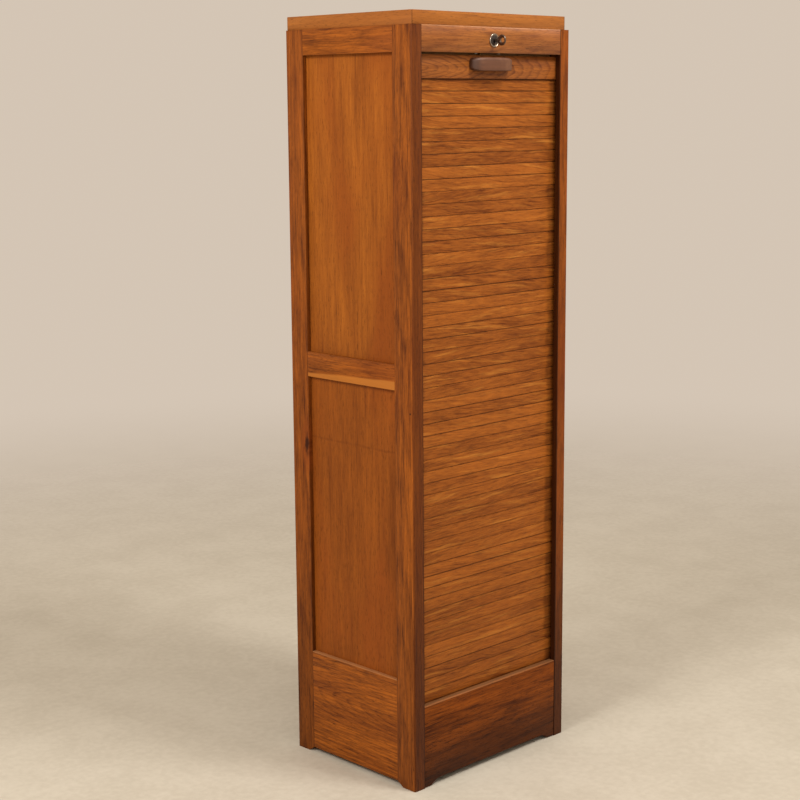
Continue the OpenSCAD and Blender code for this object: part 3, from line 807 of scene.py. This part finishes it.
def handleRow(x, s, low, high):
    # the handle cut across at x: the outside from the back over the top, then the hollow
    share = abs(x) / high.x
    deep = (high.y - low.y) * max(1 - share ** s["planCurve"], 0) ** (1 / s["planCurve"])
    rise = (high.z - low.z) / 2 * max(1 - share ** s["faceCurve"], 0) ** (1 / s["faceCurve"])
    middle = (low.z + high.z) / 2
    front, top, bottom = high.y - deep, middle + rise, middle - rise
    row = [(high.y, top)]
    for radius, level, sign in zip(s["edge"], (top, bottom), (1, -1)):
        # the radius shrinks with the handle towards its ends
        r = min(millimetres(radius), deep * 0.45, rise * 0.45)
        for step in range(s["edgeSteps"] + 1):
            done = step / s["edgeSteps"]
            turn = math.radians(90 * (1 - done if sign > 0 else done))
            row.append((front + r - r * math.cos(turn), level - sign * r + sign * r * math.sin(turn)))
    into = min(max((millimetres(s["hollow"]) - abs(x)) / millimetres(s["ease"]), 0), 1)
    into = math.sqrt(1 - (1 - into) ** 2)
    wall = blend(high.y, front + millimetres(s["wall"]), into)
    lid = blend(bottom, high.z - millimetres(s["wall"]), into)
    corner = min(millimetres(s["corner"]), (high.y - wall) / 2, (lid - bottom) / 2)
    row += [(wall, bottom), (wall, lid - corner), (wall + corner * 0.3, lid - corner * 0.3)]
    row += [(wall + corner, lid), (high.y, lid)]
    return row


def handleMesh(s):
    low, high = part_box("handle")
    shape = bmesh.new()
    rows = []
    for j in range(s["lengths"] + 1):
        x = -math.cos(math.pi * j / s["lengths"]) * high.x * s["reach"]
        rows.append([shape.verts.new((x, y, z)) for y, z in handleRow(x, s, low, high)])
    bridge(shape, rows)
    shape.faces.new(rows[0])
    shape.faces.new(rows[-1][::-1])
    bmesh.ops.remove_doubles(shape, verts=shape.verts, dist=millimetres(0.002))
    return finishMesh(shape, "handle_turned")


stainLook = {
    "dark": (0.060, 0.018, 0.006),
    "light": (0.155, 0.054, 0.020),
    "worn": (0.24, 0.10, 0.042),
    # painted shade on the handle's left end
    "leftEndShade": (0.030, 0.009, 0.003),
    "leftEndShadeReach": (0.004, 0.022),    # metres from the left end, where the painted shade starts to fade and ends
}


def stainedWood(look):
    paint = Paint("stainedHandleWood", Coat_Weight=0.05, Coat_Roughness=0.5)
    x, y, z = paint.place()
    streaks = paint.noise(paint.vector(x * 0.04, y, z), 300, 4, 1)
    wear = paint.noise(paint.vector(x, y, z), 28, 3, 6)
    colour = paint.mix(streaks, look["dark"], look["light"])
    colour = paint.mix(wear.between(0.5, 0.8) * 0.5, colour, look["worn"])
    # painted shade on the left end of the handle
    left = 1 - (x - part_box("handle")[0].x).between(*look["leftEndShadeReach"])
    colour = paint.mix(left * 0.6, colour, look["leftEndShade"])
    paint.set(Base_Color=colour, Roughness=0.48 + streaks * 0.14)
    paint.bump(streaks, 0.2, millimetres(0.3))
    return paint.material


handle = addPiece(
    "handle_turned", handleMesh(handleShape), "shutter", ["handle"], stainedWood(stainLook))
handle.data.set_sharp_from_angle(angle=math.radians(50))
print("handle made")


def frameJoint(name):
    return next(j for j in frame["joints"] if j["name"] == name)


metalAge = {
    "tarnish": 0.5,        # how strongly the dull patches and the small spots show
    "spots": 0.3,
    "dirtReach": 0,        # metres from the key's axis, out to where old dirt fills the dish
    "dirtAndShade": (0.018, 0.010, 0.007),
}


def metal(name, colour, dull, rough, **changes):
    look = {**metalAge, **changes}
    paint = Paint(name, Metallic=1.0)
    x, y, z = paint.place()
    where = paint.vector(x, y, z)
    age = paint.noise(where, 160, 3, 1)
    fleck = paint.noise(where, 900, 2, 5)
    share = age.between(0.35, 0.75) * look["tarnish"] + fleck.between(0.6, 0.8) * look["spots"]
    share = share.lowest(1)
    mixed = paint.mix(share, colour, dull)
    if look["dirtReach"]:
        reach = (x ** 2 + (z - frameJoint("key_turn")["pos_m"][2]) ** 2) ** 0.5
        dirtAndShade = 1 - reach.between(look["dirtReach"] - 0.001, look["dirtReach"])
        dirtAndShade = dirtAndShade * (0.75 + age * 0.4)
        cover = dirtAndShade.lowest(1)
        mixed = paint.mix(cover, mixed, look["dirtAndShade"])
        paint.set(Metallic=1 - cover * 0.8)
        share = share + dirtAndShade
    paint.set(Base_Color=mixed, Roughness=rough + share * 0.25)
    paint.bump(fleck, 0.15, millimetres(0.1))
    return paint.material


metals = {
    # slot: name, clean colour, dull colour, roughness
    "rose_metal": metal(
        "wornNickel", (0.50, 0.42, 0.34), (0.16, 0.11, 0.08), 0.22, tarnish=0.7, dirtReach=0.0104),
    "key_metal": metal("darkKeySteel", (0.155, 0.115, 0.090), (0.040, 0.028, 0.022), 0.27),
    "lock_steel": metal("plainSteel", (0.50, 0.49, 0.47), (0.25, 0.22, 0.19), 0.35),
    "lock_brass": metal("plainBrass", (0.42, 0.27, 0.10), (0.16, 0.09, 0.035), 0.34),
    "label_brass": metal("stampedBrass", (0.66, 0.47, 0.19), (0.26, 0.16, 0.06), 0.32),
}


def circle(middle, radius, y, turns):
    # points round the lock's axis, at y
    r = millimetres(radius)
    return [(middle.x + r * math.cos(t), y, middle.z + r * math.sin(t)) for t in turns]


def fullTurn(steps, start=0.0):
    return [math.tau * (k + start) / steps for k in range(steps)]


roseShape = {
    "steps": 96,
    "bead": 2.4,           # mm, thickness of the round bead along the rim
    "beadSteps": 8,
    "dish": 1.1,           # mm, thickness of the plate inside the bead
    "hole": 3.15,          # mm, radius of the keyhole's round part
    "slotWidth": 1.5,      # mm, half the width of its slot
    "slotReach": 8.6,      # mm, from the key's axis down to the end of the slot
}


def keyholeReach(turn, s):
    # distance from the key's axis to the edge of the keyhole, in a direction
    across, down = abs(math.cos(turn)), -math.sin(turn)
    reach = s["hole"]
    if down > 0:
        alongSlot = s["slotReach"] / down
        acrossSlot = s["slotWidth"] / max(across, 1e-6)
        reach = max(reach, min(alongSlot, acrossSlot))
    return reach


def roseMesh(s):
    low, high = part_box("rose")
    middle = (low + high) / 2
    outer = (high.x - low.x) / 2 * 1000
    proud = (high.y - low.y) * 1000
    bead = s["bead"] / 2
    # radius from the rim inwards and height above the wood: a round bead, then a shallow dish
    profile = [(outer, 0.0)]
    for step in range(s["beadSteps"] + 1):
        turn = math.radians(-10 + 200 * step / s["beadSteps"])
        profile.append((outer - bead + math.cos(turn) * bead, proud - bead + math.sin(turn) * bead))
    edge = outer - s["bead"]
    profile += [(edge - 0.5, s["dish"]), (edge - 1.6, s["dish"] + 0.1)]
    shape = bmesh.new()
    turns = fullTurn(s["steps"], 0.5)
    rows = []
    for radius, up in profile:
        rows.append([shape.verts.new(p) for p in circle(middle, radius, high.y - millimetres(up), turns)])
    for share, up in ((0.25, s["dish"] + 0.1), (0.0, s["dish"] - 0.1), (0.0, 0.0)):
        row = []
        for t in turns:
            radius = blend(keyholeReach(t, s), profile[-1][0], share)
            row += [shape.verts.new(p) for p in circle(middle, radius, high.y - millimetres(up), [t])]
        rows.append(row)
    bridge(shape, rows + [rows[0]])
    return finishMesh(shape, "rose_beaded")


rose = addPiece("rose_beaded", roseMesh(roseShape), "cabinet", ["rose"], metals["rose_metal"])
rose.data.set_sharp_from_angle(angle=math.radians(50))

keyShape = {
    "steps": 64,
    "bow": 10.5,           # mm, radius of the bow
    "hole": 4.4,           # mm, radius of the hole in the bow
    "holeShift": 2.5,      # mm, from the bow's middle to the hole's, away from the lock
    "thick": 3.0,          # mm, thickness of the bow and the roundness of its rims
    "round": 1.1,
    "rimSteps": 6,
    "shankSteps": 40,
    "shank": 2.75,         # mm, radius of the shank and of its collar
    "collar": 4.2,
    "plate": 2.3,          # mm, thickness of the lock's front plate and the play behind it
    "bit": (2.2, 6.4),     # mm, thickness and height of the bit
    "bitDrop": 4.8,        # mm, from the key's axis to the middle of the bit
    "bitShort": 0.1,       # mm, from the bit's end to the key's
    "bitEdge": 0.3,        # mm, worn off its edges
}


def bowRows(shape, axis, bowY, s):
    # sections of the flat ring: round its outside, then round its hole
    rim = [math.radians(-90 + 180 * step / s["rimSteps"]) for step in range(s["rimSteps"] + 1)]
    outside = [(s["bow"] - s["round"] + s["round"] * math.cos(t), 0, math.sin(t)) for t in rim]
    inside = [(s["hole"] + s["round"] - s["round"] * math.cos(t), s["holeShift"], math.sin(t)) for t in rim]
    rows = []
    for reach, shift, up in outside + inside[::-1]:
        row = []
        for t in fullTurn(s["steps"]):
            out, rise = math.cos(t) * reach - shift, math.sin(t) * reach
            row.append(shape.verts.new((
                axis.x + millimetres(up * s["thick"] / 2),
                bowY + millimetres(out),
                axis.z + millimetres(rise))))
        rows.append(row)
    return rows + [rows[0]]


def shankRows(shape, axis, bowY, length, s):
    # from inside the bow to the key's inner end: mm beyond the bow's middle, and radius
    start, shank, collar = s["bow"] - 1.2, s["shank"], s["collar"]
    turned = [
        (start, 1.6), (start + 0.6, shank), (start + 2.2, shank), (start + 2.6, collar),
        (start + 3.2, collar), (start + 4.0, shank), (length - 0.5, shank), (length, shank - 0.6)]
    turns = fullTurn(s["shankSteps"])
    rows = []
    for out, radius in turned:
        rows.append([shape.verts.new(p) for p in circle(axis, radius, bowY + millimetres(out), turns)])
    return rows


def hangBit(shape, axis, keyEnd, s):
    # the bit hangs from the shank, behind the front plate of the lock
    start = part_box("lock_case")[0].y + millimetres(s["plate"])
    end = keyEnd - millimetres(s["bitShort"])
    thick, tall = s["bit"]
    middle = Vector((axis.x, (start + end) / 2, axis.z - millimetres(s["bitDrop"])))
    bit = bmesh.ops.create_cube(shape, size=1)["verts"]
    bmesh.ops.scale(shape, vec=(millimetres(thick), end - start, millimetres(tall)), verts=bit)
    bmesh.ops.translate(shape, vec=middle, verts=bit)
    edges = list({e for v in bit for e in v.link_edges})
    bmesh.ops.bevel(
        shape, geom=edges, offset=millimetres(s["bitEdge"]), segments=2, profile=0.5, affect="EDGES")


def keyMesh(s):
    low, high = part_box("key")
    axis = Vector((0.0, 0.0, frameJoint("key_turn")["pos_m"][2]))
    bowY = low.y + millimetres(s["bow"])
    shape = bmesh.new()
    bridge(shape, bowRows(shape, axis, bowY, s))
    rows = shankRows(shape, axis, bowY, (high.y - bowY) * 1000, s)
    bridge(shape, rows)
    shape.faces.new(rows[0])
    shape.faces.new(rows[-1])
    hangBit(shape, axis, high.y, s)
    return finishMesh(shape, "key_forged")


key = addPiece("key_forged", keyMesh(keyShape), "key", ["key"], metals["key_metal"])
key.data.set_sharp_from_angle(angle=math.radians(50))

# width of the worn edge in mm
smallParts = {
    "lock_case": 0.4,
    "lock_bolt": 0.3,
    "lock_hub": 0.3,
    "lock_staple": 0.3,
    "lock_screws": 0.15,
    "handle_screws": 0.15,
    "label_holders": 0.3,
}
for node, wear in smallParts.items():
    slot = slotOf[node]
    part = addPiece(node + "_filed", cleanMesh(node), bodyOf[node], [node], metals[slot])
    wearEdges(part, wear)
print("metal parts made")


# the slats and the canvas each get a mesh of their own
curtainLow = slatLow.z
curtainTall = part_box("lead_slat")[0].z - curtainLow
fall = frameJoint("shutter_slide")["range_m"][1]
for piece in (curtain, cloth):
    1 - fall / curtainTall
    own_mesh(piece)


floorLook = {
    "pale": (0.54, 0.495, 0.41),
    "dull": (0.475, 0.43, 0.35),
    "radius": 8,           # metres
    "fade": (1.1, 4.5),    # metres from the middle, where it starts to fade and is gone
}


def stageFloor(look):
    # a pale floor that fades into the backdrop
    paint = Paint("paleFloor", Specular_IOR_Level=0.2)
    x, y, z = paint.place()
    where = paint.vector(x, y, z)
    clouds = paint.noise(where, 6, 5, 1, 0.6)
    grit = paint.noise(where, 60, 4, 4, 0.6)
    colour = paint.mix((clouds * 0.5 + grit * 0.5).between(0.35, 0.65), look["dull"], look["pale"])
    paint.set(Base_Color=colour, Roughness=0.75 + grit * 0.15)
    paint.bump(grit, 0.15, millimetres(1))
    away = (x ** 2 + y ** 2) ** 0.5
    clear = paint.add("ShaderNodeBsdfTransparent")
    solid = Wire(paint, paint.shader.outputs[0])
    shown = paint.add("ShaderNodeMixShader", values={0: away.between(*look["fade"]), 1: solid, 2: clear})
    paint.join(paint.tree.nodes["Material Output"].inputs["Surface"], shown)
    shape = bmesh.new()
    bmesh.ops.create_circle(shape, cap_ends=True, segments=96, radius=look["radius"])
    mesh = bpy.data.meshes.new("floor")
    shape.to_mesh(mesh)
    shape.free()
    floor = bpy.data.objects.new("floor", mesh)
    mesh.materials.append(paint.material)
    bpy.context.scene.collection.objects.link(floor)


stageFloor(floorLook)
print("floor made")
